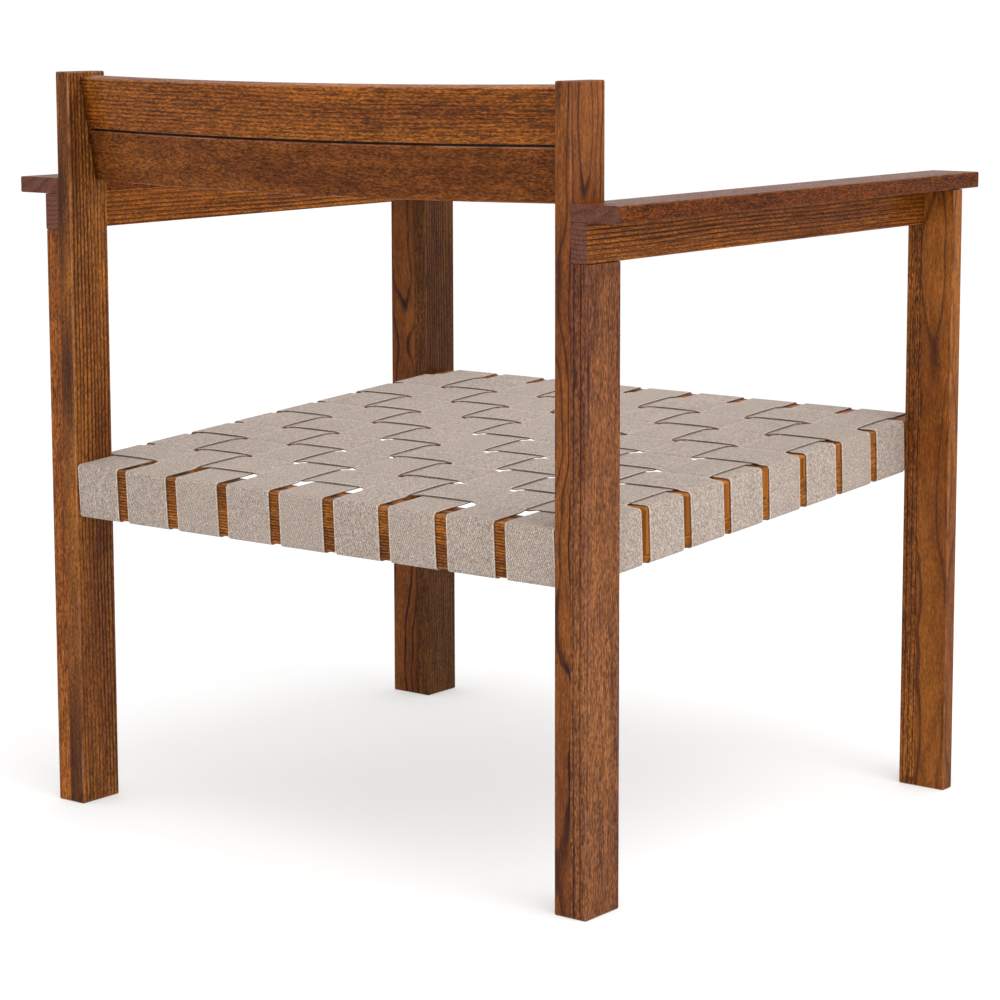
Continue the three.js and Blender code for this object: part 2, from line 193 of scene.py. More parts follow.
class Graph:
    """Short ways to add and link shader nodes."""

    def __init__(self, name):
        self.material = bpy.data.materials.new(name)
        self.material.use_nodes = True
        self.nodes = self.material.node_tree.nodes
        self.links = self.material.node_tree.links
        self.shader = self.nodes["Principled BSDF"]

    def put(self, socket, value):
        if isinstance(value, bpy.types.NodeSocket):
            self.links.new(value, socket)
        elif isinstance(value, (tuple, list)) and socket.type == "RGBA" and len(value) == 3:
            socket.default_value = (*value, 1)
        else:
            socket.default_value = value

    def node(self, kind, inputs=(), **settings):
        node = self.nodes.new(kind)
        for key, value in settings.items():
            setattr(node, key, value)
        for key, value in dict(inputs).items():
            self.put(node.inputs[key], value)
        return node

    def attribute(self, name, output="Vector"):
        return self.node("ShaderNodeAttribute", attribute_name=name).outputs[output]

    def math(self, operation, a, b=0.0, c=0.0, clamp=False):
        node = self.node("ShaderNodeMath", {0: a, 1: b, 2: c}, operation=operation, use_clamp=clamp)
        return node.outputs[0]

    def vector(self, operation, a, b=(0, 0, 0)):
        node = self.node("ShaderNodeVectorMath", {0: a, 1: b}, operation=operation)
        return node.outputs["Value" if operation == "LENGTH" else "Vector"]

    def split(self, vector):
        return self.node("ShaderNodeSeparateXYZ", {0: vector}).outputs

    def noise(self, place, often, detail=2.0, rough=0.5, output="Fac"):
        """Noise that varies often times per metre, given along each axis."""
        stretched = self.node("ShaderNodeMapping", {"Vector": place, "Scale": often})
        inputs = {
            "Vector": stretched.outputs["Vector"],
            "Scale": 1.0,
            "Detail": detail,
            "Roughness": rough,
        }
        return self.node("ShaderNodeTexNoise", inputs, noise_dimensions="3D").outputs[output]

    def range(self, value, low, high, to_low=0.0, to_high=1.0, smooth=True):
        inputs = {"Value": value, "From Min": low, "From Max": high, "To Min": to_low, "To Max": to_high}
        kind = "SMOOTHSTEP" if smooth else "LINEAR"
        return self.node("ShaderNodeMapRange", inputs, interpolation_type=kind).outputs["Result"]

    def mix(self, factor, a, b, blend="MIX"):
        node = self.nodes.new("ShaderNodeMix")
        node.data_type = "RGBA"
        node.blend_type = blend
        for key, value in ((0, factor), (6, a), (7, b)):
            self.put(node.inputs[key], value)
        return node.outputs[2]

    def shaded(self, color, shade):
        """The colour times a grey shade."""
        grey = self.node("ShaderNodeCombineColor", {0: shade, 1: shade, 2: shade}).outputs[0]
        return self.mix(1.0, color, grey, "MULTIPLY")

    def ramp(self, value, stops):
        node = self.node("ShaderNodeValToRGB", {"Fac": value})
        elements = node.color_ramp.elements
        elements[0].position, elements[0].color = stops[0][0], (*stops[0][1], 1)
        elements[1].position, elements[1].color = stops[-1][0], (*stops[-1][1], 1)
        for position, color in stops[1:-1]:
            elements.new(position).color = (*color, 1)
        return node.outputs["Color"]

    def bump(self, height, distance):
        return self.node("ShaderNodeBump", {"Height": height, "Distance": distance}).outputs["Normal"]

    def finish(self, **inputs):
        for key, value in inputs.items():
            self.put(self.shader.inputs[key.replace("_", " ")], value)
        return self.material


def elsewhere(seed):
    """A random place in the noise, so that no two pieces look the same."""
    rnd = random.Random(seed)
    return tuple(rnd.uniform(-3, 3) for _ in range(3))


# Stained ash, linear colours.
WOOD_LIGHT = (0.42, 0.128, 0.012)
WOOD_MID = (0.25, 0.068, 0.008)
WOOD_DARK = (0.040, 0.0115, 0.005)
WOOD_END = (0.155, 0.062, 0.046)
# Pale wood of worn edges, which also serves as a painted highlight on their roundings.
WOOD_RUBBED_AND_HIGHLIT = (0.62, 0.25, 0.07)

# How often each pattern in the wood varies per metre: through the board, across it, along it.
PITH_DRIFT = 9  # along the board it is a look's wave
RING_FRAYING = (260, 260, 9)
RING_CROWDING = (45, 45, 2)
RING_STRENGTH = (30, 30, 1.8)
PORE_FINENESS = 820  # along the board it is a look's dash
LONG_PORE_FINENESS = 640
PORE_ROWS = (330, 330, 9)
PORE_CROWDING = (14, 14, 7)
STAIN_DRIFT = (22, 22, 3.2)
STAIN_BLOTCHES = (120, 120, 34)
FIBRES = (800, 800, 260)
# The pale edges, partly wear and partly a painted highlight:
EDGE_WEAR_AND_HIGHLIGHT = (160, 160, 45)
END_VESSELS = (700, 700, 40)

FRAYING = 0.22  # how far a ring's edge frays, in years of growth
LONG_PORE_SHARE = 0.25  # how often long pores follow each other, against the short ones
# The least paleness, part wear and part painted highlight, of every open edge.
LEAST_WEAR_AND_HIGHLIGHT = 0.05  # of every open edge
END_SKIN = 0.0004  # depth of the end grain's colour
WOOD_RELIEF = 0.00022


def ring_profile(line):
    """A year's growth as (share of the year, darkness): a dark line, then the pale wood."""
    return [
        (0.0, 0.9),
        (0.14 * line, 1),
        (0.4 * line, 0.25),
        (0.62 * line, 0),
        (1 - 0.08 * line, 0.08),
        (1.0, 0.85),
    ]


def growth_rings(g, place, far, pith, ring, flow, wave, line, uneven):
    """Darkness of growth rings round a wandering pith."""
    drift = g.noise(far, (PITH_DRIFT, PITH_DRIFT, wave), rough=0.45, output="Color")
    drift = g.vector("SUBTRACT", drift, (0.5, 0.5, 0.5))
    drift = g.vector("MULTIPLY", drift, (4 * flow, 4 * flow, 0))
    around = g.vector("SUBTRACT", place, (*pith, 0))
    around = g.vector("MULTIPLY", g.vector("ADD", around, drift), (1, 1, 0))
    turns = g.math("DIVIDE", g.vector("LENGTH", around), ring)
    turns = g.math("MULTIPLY_ADD", g.noise(far, RING_FRAYING, detail=3.0, rough=0.6), FRAYING, turns)
    turns = g.math("MULTIPLY_ADD", g.noise(far, RING_CROWDING, detail=1.0), uneven, turns)
    stops = [(share, (dark,) * 3) for share, dark in ring_profile(line)]
    return g.ramp(g.math("FRACT", turns), stops)


def pore_marks(g, far, rings, dash):
    """Darkness of the pores: short and long dashes along the grain, thickest in the dark rings."""
    dashes = g.noise(far, (PORE_FINENESS, PORE_FINENESS, dash), detail=1.0)
    dashes = g.range(dashes, 0.53, 0.58)
    rows = g.range(g.noise(far, PORE_ROWS, detail=1.0), 0.4, 0.6, 0.45, 1.0)
    dashes = g.math("MULTIPLY", dashes, rows)
    often = (LONG_PORE_FINENESS, LONG_PORE_FINENESS, LONG_PORE_SHARE * dash)
    long_pores = g.range(g.noise(far, often, detail=1.0), 0.57, 0.63)
    crowd = g.range(g.noise(far, PORE_CROWDING), 0.36, 0.6, 0.55, 0.9)
    density = g.math("MULTIPLY_ADD", rings, 0.3, crowd)
    return g.math("MULTIPLY", g.math("MAXIMUM", dashes, long_pores), density, clamp=True)


def wood(
    name,
    length,
    seed,
    pith=(0.03, 0.0),
    ring=0.0055,
    contrast=0.8,
    tone=(1, 1, 1),
    flow=0.003,
    wave=2.6,
    dash=170,
    pores_share=0.8,
    line=1.0,
    coat=0.06,
    rubbed_and_highlit=0.34,
    uneven=1.1,
    grit=0.4,
    dry_and_shaded_edge=0.0,
):
    """Open-grained wood, cut from a log whose rings centre on pith, across the board.

    ring is the width of a year's growth, contrast how dark the rings are, and tone what the
    whole colour is multiplied by. flow is how far the rings wander, and wave how often along
    the board: a large flow turns straight grain into nested arches. dash is how many pores
    follow each other in a metre, and pores_share how dark they are. line is the width of the
    dark part of a ring, and coat how much lacquer lies on the surface. rubbed_and_highlit is how
    far the rounded edges are painted pale: partly worn down to pale wood, partly a painted
    highlight on their rounding. uneven is how many rings the growth drifts by, and grit how much
    the colour varies from fibre to fibre. Past dry_and_shaded_edge, measured from the middle of
    the width, the surface was never finished, so it is rougher, and its colour is darkened there
    as painted shade of the slot it faces.
    """
    g = Graph(name)
    place = g.attribute("grain")
    far = g.vector("ADD", place, elsewhere(seed))
    axes = g.split(place)
    across, along = axes["Y"], axes["Z"]

    growth = growth_rings(g, place, far, pith, ring, flow, wave, line, uneven)
    strength = g.noise(far, RING_STRENGTH, detail=1.0)
    rings = g.math("MULTIPLY", growth, g.range(strength, 0.3, 0.6, 0.5 * contrast, contrast))
    pores = pore_marks(g, far, rings, dash)

    # Colour: broad drifts, stain blotches and fibres, rings, then pores.
    broad = g.noise(far, STAIN_DRIFT, detail=3.0, rough=0.55)
    blotch = g.noise(far, STAIN_BLOTCHES, detail=3.0, rough=0.6)
    fibre = g.range(g.noise(far, FIBRES, detail=1.0), 0.32, 0.68, 1 - grit, 1 + grit)
    stain = g.math("MULTIPLY_ADD", g.range(blotch, 0.3, 0.72), 0.36, 0.82)
    color = g.mix(g.range(broad, 0.3, 0.7), WOOD_MID, WOOD_LIGHT)
    color = g.shaded(color, g.math("MULTIPLY", fibre, stain))
    color = g.mix(rings, color, WOOD_DARK)
    color = g.mix(g.math("MULTIPLY", pores, pores_share), color, WOOD_DARK)

    # Open edges are painted lighter: partly worn down to pale wood, partly a painted highlight on their
    # rounding. End grain drinks more stain.
    wear_and_highlight = g.range(g.noise(far, EDGE_WEAR_AND_HIGHLIGHT), 0.38, 0.66)
    wear_and_highlight = g.math("MULTIPLY_ADD", wear_and_highlight, rubbed_and_highlit, LEAST_WEAR_AND_HIGHLIGHT)
    color = g.mix(g.math("MULTIPLY", g.attribute("edge", "Fac"), wear_and_highlight), color, WOOD_RUBBED_AND_HIGHLIT)
    color = g.mix(1.0, color, tone, "MULTIPLY")
    ends = g.math("GREATER_THAN", g.math("ABSOLUTE", along), length / 2 - END_SKIN)
    vessels = g.range(g.noise(far, END_VESSELS, detail=1.0), 0.35, 0.65, 0.0, 0.45)
    end_grain = g.mix(g.math("MULTIPLY_ADD", growth, 0.3, vessels), WOOD_END, WOOD_DARK)
    color = g.mix(g.math("MULTIPLY", ends, 0.9), color, end_grain)

    rough = g.math("MULTIPLY_ADD", pores, 0.2, g.math("MULTIPLY_ADD", blotch, 0.14, 0.3))
    # Faces inside the slot between the slats: never finished, so rougher, and darkened as painted shade of
    # the slot.
    if dry_and_shaded_edge:
        facing = g.math("MULTIPLY", across, math.copysign(1, dry_and_shaded_edge))
        in_slot = g.math("GREATER_THAN", facing, abs(dry_and_shaded_edge))
        color = g.mix(g.math("MULTIPLY", in_slot, 0.6), color, WOOD_DARK)
        rough = g.math("MAXIMUM", rough, in_slot)
    hollows = g.math("MULTIPLY_ADD", pores, 0.8, g.math("MULTIPLY", rings, 0.35))
    height = g.math("SUBTRACT", g.math("MULTIPLY", blotch, 0.15), hollows)
    return g.finish(
        Base_Color=color,
        Roughness=rough,
        Normal=g.bump(height, WOOD_RELIEF),
        Coat_Weight=coat,
        Coat_Roughness=0.15,
        Specular_IOR_Level=0.035,
    )


# Greige yarns, linear colours, from the darkest to the palest.
YARN_COLORS = [
    (0.0, (0.25, 0.194, 0.156)),
    (0.35, (0.40, 0.314, 0.26)),
    (0.65, (0.50, 0.404, 0.343)),
    (1.0, (0.64, 0.54, 0.473)),
]
# Painted shade for the straps' very sides: the dark lines where straps cross, and beside each gap.
WEBBING_SIDE_SHADE = (0.10, 0.065, 0.04)

HERRINGBONE_BANDS = 2
TWILL_PITCH = 0.0021
TWILL_SLOPE = 0.42
WARP_PITCH = 0.00105
WEFT_PITCH = 0.0013
TWILL_WOBBLE = 0.0007  # how far the twill's lines stray
YARN_WOBBLE = 0.0002  # and how far a yarn does
SELVAGE = (0.0018, 0.0011)  # distances from the strap's side where it starts and is full
# The dark line at the very side is painted shade, where straps cross and beside the gaps.
SHADED_SIDE = (0.00035, 0.00015)  # and those of the dark line at the very side
WEBBING_RELIEF = 0.0003

# How often each pattern in the webbing varies per metre: across it, through it, along it.
YARN_STRAY = (260, 260, 260)
TWILL_FADING = (420, 420, 260)
YARN_SPECKLE = (900, 900, 620)
YARN_STREAKS = (900, 900, 24)
SOFT_SHADE = (18, 18, 14)
LOOSE_FIBRES = (2600, 2600, 1500)


def webbing(name, seed):
    """Flat upholstery webbing: a fine herringbone of mixed greige yarns between pale selvages."""
    g = Graph(name)
    place = g.attribute("grain")
    axes = g.split(place)
    across, along = axes["X"], axes["Z"]
    far = g.vector("ADD", place, elsewhere(seed))

    def stripes(value, pitch):
        wave = g.math("SINE", g.math("MULTIPLY", value, 2 * math.pi / pitch))
        return g.math("MULTIPLY_ADD", wave, 0.5, 0.5)

    wobble = g.noise(far, YARN_STRAY, detail=1.0)
    folded = g.math("PINGPONG", g.math("ADD", across, STRAP_W / 2), STRAP_W / HERRINGBONE_BANDS)
    diagonal = g.math("MULTIPLY_ADD", along, TWILL_SLOPE, folded)
    diagonal = g.math("MULTIPLY_ADD", wobble, TWILL_WOBBLE, diagonal)
    faint = g.range(g.noise(far, TWILL_FADING), 0.3, 0.65, 0.45, 0.95)
    twill = g.math("MULTIPLY", stripes(diagonal, TWILL_PITCH), faint)
    warp = stripes(g.math("MULTIPLY_ADD", wobble, YARN_WOBBLE, across), WARP_PITCH)
    weft = stripes(g.math("MULTIPLY_ADD", wobble, YARN_WOBBLE, along), WEFT_PITCH)
    yarns = g.math("MULTIPLY", warp, weft)
    from_middle = g.math("ABSOLUTE", across)
    selvage = g.range(from_middle, STRAP_W / 2 - SELVAGE[0], STRAP_W / 2 - SELVAGE[1])
    # The strap's very side is darkened: painted shade for the lines where straps cross and beside each gap.
    side_shade = g.range(from_middle, STRAP_W / 2 - SHADED_SIDE[0], STRAP_W / 2 - SHADED_SIDE[1])
    relief = g.math("MULTIPLY_ADD", twill, 0.65, g.math("MULTIPLY", yarns, 0.5))
    relief = g.math("MULTIPLY", relief, g.math("MULTIPLY_ADD", selvage, -0.55, 1.0))

    speckle = g.noise(far, YARN_SPECKLE, rough=0.7)
    streak = g.noise(far, YARN_STREAKS, rough=0.6)
    soft = g.noise(far, SOFT_SHADE)
    shade = g.math("MULTIPLY_ADD", relief, 0.8, 0.54)
    shade = g.math("MULTIPLY", shade, g.math("MULTIPLY_ADD", streak, 0.24, 0.88))
    shade = g.math("MULTIPLY", shade, g.math("MULTIPLY_ADD", soft, 0.16, 0.92))
    shade = g.math("MULTIPLY_ADD", selvage, 0.5, shade)
    color = g.ramp(g.range(speckle, 0.35, 0.65, smooth=False), YARN_COLORS)
    color = g.shaded(color, shade)
    # Painted shade along the strap's sides.
    color = g.mix(g.math("MULTIPLY", side_shade, 0.7), color, WEBBING_SIDE_SHADE)
    height = g.math("MULTIPLY_ADD", g.noise(far, LOOSE_FIBRES), 0.35, relief)
    return g.finish(
        Base_Color=color,
        Roughness=g.math("MULTIPLY_ADD", speckle, 0.12, 0.82),
        Normal=g.bump(height, WEBBING_RELIEF),
        Sheen_Weight=0.12,
        Sheen_Roughness=0.5,
        Specular_IOR_Level=0.25,
    )


DOWEL_COLORS = [(0.3, (0.36, 0.21, 0.10)), (0.55, (0.55, 0.37, 0.20)), (0.75, (0.64, 0.46, 0.27))]
DOWEL_TINGE = (0.45, 0.27, 0.13)
DOWEL_STREAKS = (40, 900, 900)
DOWEL_DRIFT = (30, 120, 120)
DOWEL_RELIEF = 0.0002


def plain_wood(name):
    """Unstained turned dowel, with its grain along X."""
    g = Graph(name)
    place = g.node("ShaderNodeTexCoord").outputs["Object"]
    streak = g.noise(place, DOWEL_STREAKS, detail=3.0, rough=0.6)
    tinge = g.range(g.noise(place, DOWEL_DRIFT), 0.3, 0.7, 0.0, 0.35)
    return g.finish(
        Base_Color=g.mix(tinge, g.ramp(streak, DOWEL_COLORS), DOWEL_TINGE),
        Roughness=g.math("MULTIPLY_ADD", streak, 0.2, 0.5),
        Normal=g.bump(streak, DOWEL_RELIEF),
    )


# ------------------------------------------------------------ the boards

# How each board is cut. The two sides of the chair come from different planks.
STRAIGHT = dict(pith=(0.0, 0.10), ring=0.0044, contrast=0.95, dash=60, pores_share=0.6)
STRIPED_EDGE = dict(
    pith=(0.12, 0.0),
    ring=0.006,
    contrast=1.0,
    flow=0.0016,
    uneven=0.35,
    dash=140,
    pores_share=0.75,
    line=0.45,
)
ARCHED = dict(
    pith=(0.012, 0.004),
    ring=0.0058,
    contrast=1.0,
    flow=0.009,
    wave=6,
    pores_share=0.4,
    line=0.6,
    grit=0.2,
)
SPECKLED = dict(pith=(0.03, 0.02), ring=0.012, contrast=0.15, dash=420, pores_share=0.6)
ARMREST = dict(SPECKLED, coat=0.08, dash=300, pores_share=0.75, grit=0.5, tone=(0.42, 0.32, 0.1))
BOARD_LOOKS = {
    "rear_leg_inner_board_right": dict(ARCHED, seed=14, rubbed_and_highlit=0.15, tone=(0.62, 0.66, 1.5)),
    "rear_leg_inner_board_left": dict(STRAIGHT, seed=12, tone=(0.74, 0.84, 1.6)),
    "rear_leg_outer_board_right": dict(
        STRIPED_EDGE,
        seed=26,
        ring=0.0066,
        line=0.62,
        pores_share=0.7,
        rubbed_and_highlit=0.15,
        tone=(0.62, 0.74, 2.3),
    ),
    "rear_leg_outer_board_left": dict(
        STRIPED_EDGE,
        seed=24,
        ring=0.008,
        contrast=0.5,
        tone=(0.9, 0.95, 1.6),
    ),
    "front_leg_inner_board_right": dict(STRIPED_EDGE, seed=31, ring=0.0048, tone=(0.76, 0.84, 1.4)),
    "front_leg_inner_board_left": dict(STRAIGHT, seed=32, tone=(0.36, 0.43, 0.9)),
    "front_leg_outer_board_right": dict(
        ARCHED,
        seed=42,
        ring=0.0075,
        contrast=0.7,
        tone=(0.74, 0.8, 1.4),
    ),
    "front_leg_outer_board_left": dict(ARCHED, seed=43, tone=(0.46, 0.46, 0.9)),
    "arm_rail_right": dict(STRAIGHT, seed=57, ring=0.0038, tone=(0.8, 0.78, 0.9)),
    "arm_rail_left": dict(STRAIGHT, seed=58, ring=0.0044, tone=(0.8, 0.8, 1.0)),
    "armrest_right": dict(ARMREST, seed=64),
    "armrest_left": dict(ARMREST, seed=65),
}
SLAT_LOOKS = {
    # The lower slat's edges are painted paler still: worn, and a painted highlight where its edge meets the
    # slot.
    "lower": dict(SPECKLED, seed=77, coat=0.03, rubbed_and_highlit=0.9, tone=(0.53, 0.54, 1.1)),
    "upper": dict(
        STRAIGHT,
        seed=82,
        ring=0.0036,
        contrast=0.6,
        dash=210,
        pores_share=0.7,
        coat=0.12,
        tone=(0.84, 0.84, 1.0),
    ),
}
RAIL_TONE = (0.9, 0.98, 1.3)
CROSS_RAIL = dict(STRAIGHT, ring=0.0026, tone=RAIL_TONE)
SIDE_RAIL = dict(SPECKLED, tone=RAIL_TONE)


def board_axes(low, high):
    """World axes through the board, across it and along it: the shortest first."""
    size = high - low
    return sorted(range(3), key=lambda axis: size[axis])


def straight_board(node, look, glued, end_radii, free_from=None):
    """A board in a CAD node's box. glued are the sides, as (axis, sign), without sanded edges.

    Those sides come free, and are sanded, from the height free_from up.
    """
    low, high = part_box(node)
    size, centre = high - low, (low + high) / 2
    a, b, c = board_axes(low, high)
    flip = -1 if (b, c, a) not in ((0, 1, 2), (1, 2, 0), (2, 0, 1)) else 1

    def radius(sx, sy):
        meets = (a, sx * flip) in glued or (b, sy) in glued
        return GLUED_EDGE if meets else OPEN_EDGE

    radii = [radius(1, 1), radius(-1, 1), radius(-1, -1), radius(1, -1)]
    stations = length_stations(size[c], end_radii)
    change = size[c] if free_from is None else free_from - centre[c]
    if free_from is not None:
        at = next(i for i, station in enumerate(stations) if station[0] > change)
        stations[at:at] = [(change - GLUED_EDGE, 0, 0), (change + GLUED_EDGE, 0, 0)]

    def section(inset, along):
        return rounded_section(size[a], size[b], radii if along < change else [OPEN_EDGE] * 4, inset)

    def place(x, y, along):
        point = centre.copy()
        point[a] += x * flip
        point[b] += y
        point[c] += along
        return point

    obj = sweep(f"{node}_wood", section, stations, place)
    stand_in(obj, node, wood(f"{node}_grain", size[c], **look))


def build_boards():
    x, z = 0, 2
    open_ends = (OPEN_EDGE, OPEN_EDGE)
    butted = (OPEN_EDGE, GLUED_EDGE)
    flush = (OPEN_EDGE, FLUSH_EDGE)
    for side_name, out in (("left", 1), ("right", -1)):
        inward = -out
        pieces = [
            ("rear_leg_inner_board", {(x, out)}, open_ends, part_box(f"armrest_{side_name}")[1].z),
            ("rear_leg_outer_board", {(x, inward)}, butted, None),
            ("front_leg_inner_board", {(x, out)}, butted, None),
            ("front_leg_outer_board", {(x, inward)}, butted, None),
            ("arm_rail", {(z, 1), (x, inward)}, flush, None),
            ("armrest", {(x, inward)}, flush, None),
        ]
        for kind, glued, ends, free_from in pieces:
            node = f"{kind}_{side_name}"
            straight_board(node, BOARD_LOOKS[node], glued, ends, free_from)


def build_slats():
    half = INNER_HALF - JOINT
    back_radius = (INNER_HALF**2 + SLAT_BOW**2) / (2 * SLAT_BOW)
    middle_radius = back_radius - SLAT_T / 2
    centre_y = SLAT_BOW - back_radius
    # Corners back-top, front-top, front-bottom, back-bottom.
    edges = {
        "lower": (SLOT_BOTTOM_EDGE, SLOT_FRONT_EDGE, SLAT_EDGE, SLAT_EDGE),
        "upper": (SLAT_EDGE, SLAT_EDGE, SLOT_FRONT_EDGE, SLOT_TOP_EDGE),
    }
    # Where each slat starts, and whether the slot is above (1) or below (-1) it.
    for place_name, start, slot_side in (("lower", 0.0, 1), ("upper", SLAT_H + SLAT_GAP, -1)):

        def place(x, y, along, start=start):
            # x runs through the thickness, towards the back; y up the slat.
            reach = max(-half, min(half, along))
            angle = math.asin(reach / middle_radius)
            r = middle_radius + x
            px = r * math.sin(angle)
            px = max(-half, min(half, px))
            py = centre_y + r * math.cos(angle)
            return SLATS @ Vector((px, py, start + SLAT_H / 2 + y))

        obj = sweep(
            f"backrest_slat_{place_name}_wood",
            lambda inset, _, radii=edges[place_name]: rounded_section(SLAT_T, SLAT_H, radii, inset),
            length_stations(2 * half, (GLUED_EDGE, GLUED_EDGE), steps=BOW_STEPS),
            place,
        )
        # The slat's face in the slot is left unfinished, and painted dark as shade of the slot.
        look = dict(SLAT_LOOKS[place_name], dry_and_shaded_edge=slot_side * (SLAT_H / 2 - GLUED_EDGE / 4))
        material = wood(f"backrest_slat_{place_name}_grain", 2 * half, **look)
        stand_in(obj, f"backrest_slat_{place_name}", material)


def build_rails():
    side_back = -RAIL_T - JOINT
    side_half = (SEAT_LENGTH + side_back) / 2
    side_x = (RAIL_INNER + RAIL_OUTER) / 2
    side_y = (side_back - SEAT_LENGTH) / 2
    # Each rail's axis, half length, middle from above, and seed.
    rails = [
        ("rear", "x", INNER_HALF - JOINT, 0, -RAIL_T / 2, 61),
        ("front", "x", RAIL_INNER - JOINT, 0, -SEAT_LENGTH + RAIL_T / 2, 62),
        ("left", "y", side_half, side_x, side_y, 63),
        ("right", "y", side_half, -side_x, side_y, 64),
    ]
    for name, axis, half, middle_x, middle_y, seed in rails:
        middle = Vector((middle_x, middle_y, -RAIL_H / 2))

        def place(x, y, along, axis=axis, middle=middle):
            shift = Vector((along, -x, y)) if axis == "x" else Vector((x, along, y))
            return SEAT @ (middle + shift)

        obj = sweep(
            f"seat_rail_{name}_wood",
            lambda inset, _: rounded_section(RAIL_T, RAIL_H, [RAIL_EDGE] * 4, inset),
            length_stations(2 * half, (OPEN_EDGE, OPEN_EDGE)),
            place,
        )
        if axis == "y":
            notch_round_leg(obj, name)
        look = CROSS_RAIL if axis == "x" else SIDE_RAIL
        material = wood(f"seat_rail_{name}_grain", 2 * half, seed, **look)
        stand_in(obj, f"seat_rail_{name}", material)


def notch_round_leg(rail, side_name):
    """Cuts the rail away where the rear leg passes it."""
    low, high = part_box(f"rear_leg_inner_board_{side_name}")
    grow = Vector((JOINT, JOINT, 0))
    low, high = low - grow, high + grow
    if side_name == "left":
        high.x += RAIL_T
    else:
        low.x -= RAIL_T
    corners = [(x, y, z) for z in (low.z, high.z) for y in (low.y, high.y) for x in (low.x, high.x)]
    faces = [(0, 2, 3, 1), (4, 5, 7, 6), (0, 1, 5, 4), (2, 6, 7, 3), (0, 4, 6, 2), (1, 3, 7, 5)]
    mesh = bpy.data.meshes.new("leg_space")
    mesh.from_pydata(corners, [], faces)
    tool = bpy.data.objects.new("leg_space", mesh)
    bpy.context.scene.collection.objects.link(tool)
    side_shade = rail.modifiers.new("notch", "BOOLEAN")
    side_shade.operation = "DIFFERENCE"
    side_shade.solver = "EXACT"
    side_shade.object = tool
    done = bpy.data.meshes.new_from_object(rail.evaluated_get(bpy.context.evaluated_depsgraph_get()))
    rail.modifiers.clear()
    rail.data = done
    bpy.data.objects.remove(tool)


def build_dowels():
    """The dowels keep their CAD solids."""
    material = plain_wood("dowel_grain")
    for name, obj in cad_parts.items():
        if name.startswith("dowel_"):
            obj.data.materials.clear()
            obj.data.materials.append(material)


# ----------------------------------------------------------- the webbing

LOW = JOINT + CLOTH_T / 2  # centre line of webbing lying on a rail
HIGH = LOW + CLOTH_T + JOINT / 2  # and where it crosses over another strap
BEND = RAIL_EDGE + LOW
BEND_STEPS = 8
STEP_POINTS = 8
CROWN = 0.0003  # how much a strap arches over the one it crosses
SAME_POINT = 1e-5
# Sideways drift of a strap, as (reach, length of one wave), and the unevenness of its sides.
SLOW_DRIFT = (0.00035, 0.31)
QUICK_DRIFT = (0.00012, 0.083)
UNEVEN_SIDE = 0.00006
UNEVEN_RATE = 120


def bend(centre_t, centre_h, start, stop):
    """Points on the arc that a strap makes round a rail's edge."""
    points = []
    for i in range(BEND_STEPS + 1):
        angle = start + (stop - start) * i / BEND_STEPS
        points.append((centre_t + BEND * math.cos(angle), centre_h + BEND * math.sin(angle)))
    return points


def woven_line(low_end, high_end, cells):
    """Centre line of a strap that wraps two rails, over and under the cells (near, far, is_over)."""
    under = -RAIL_H - LOW
    half_pi = math.pi / 2
    line = [(low_end + STRAP_TAIL, under)]
    line += bend(low_end + RAIL_EDGE, -RAIL_H + RAIL_EDGE, 3 * half_pi, 2 * half_pi)
    line += [(low_end - LOW, -RAIL_H / 2)]
    line += bend(low_end + RAIL_EDGE, -RAIL_EDGE, 2 * half_pi, half_pi)
    gap = cells[1][0] - cells[0][1]
    previous, height = cells[0][0] - gap, LOW
    for near, far, over in cells + [(cells[-1][1] + gap, None, False)]:
        target = HIGH if over else LOW
        if target != height:
            for i in range(STEP_POINTS + 1):
                part = i / STEP_POINTS
                rise = (1 - math.cos(math.pi * part)) / 2
                line.append((previous + (near - previous) * part, height + (target - height) * rise))
        if far is None:
            break
        for part in (0.25, 0.5, 0.75):
            crown = CROWN * math.sin(math.pi * part) if over else 0
            line.append((near + (far - near) * part, target + crown))
        previous, height = far, target
    line += bend(high_end - RAIL_EDGE, -RAIL_EDGE, half_pi, 0)
    line += [(high_end + LOW, -RAIL_H / 2)]
    line += bend(high_end - RAIL_EDGE, -RAIL_H + RAIL_EDGE, 0, -half_pi)
    line.append((high_end - STRAP_TAIL, under))
    points = [Vector(point) for point in line]
    return points[:1] + [b for a, b in zip(points, points[1:]) if (b - a).length > SAME_POINT]


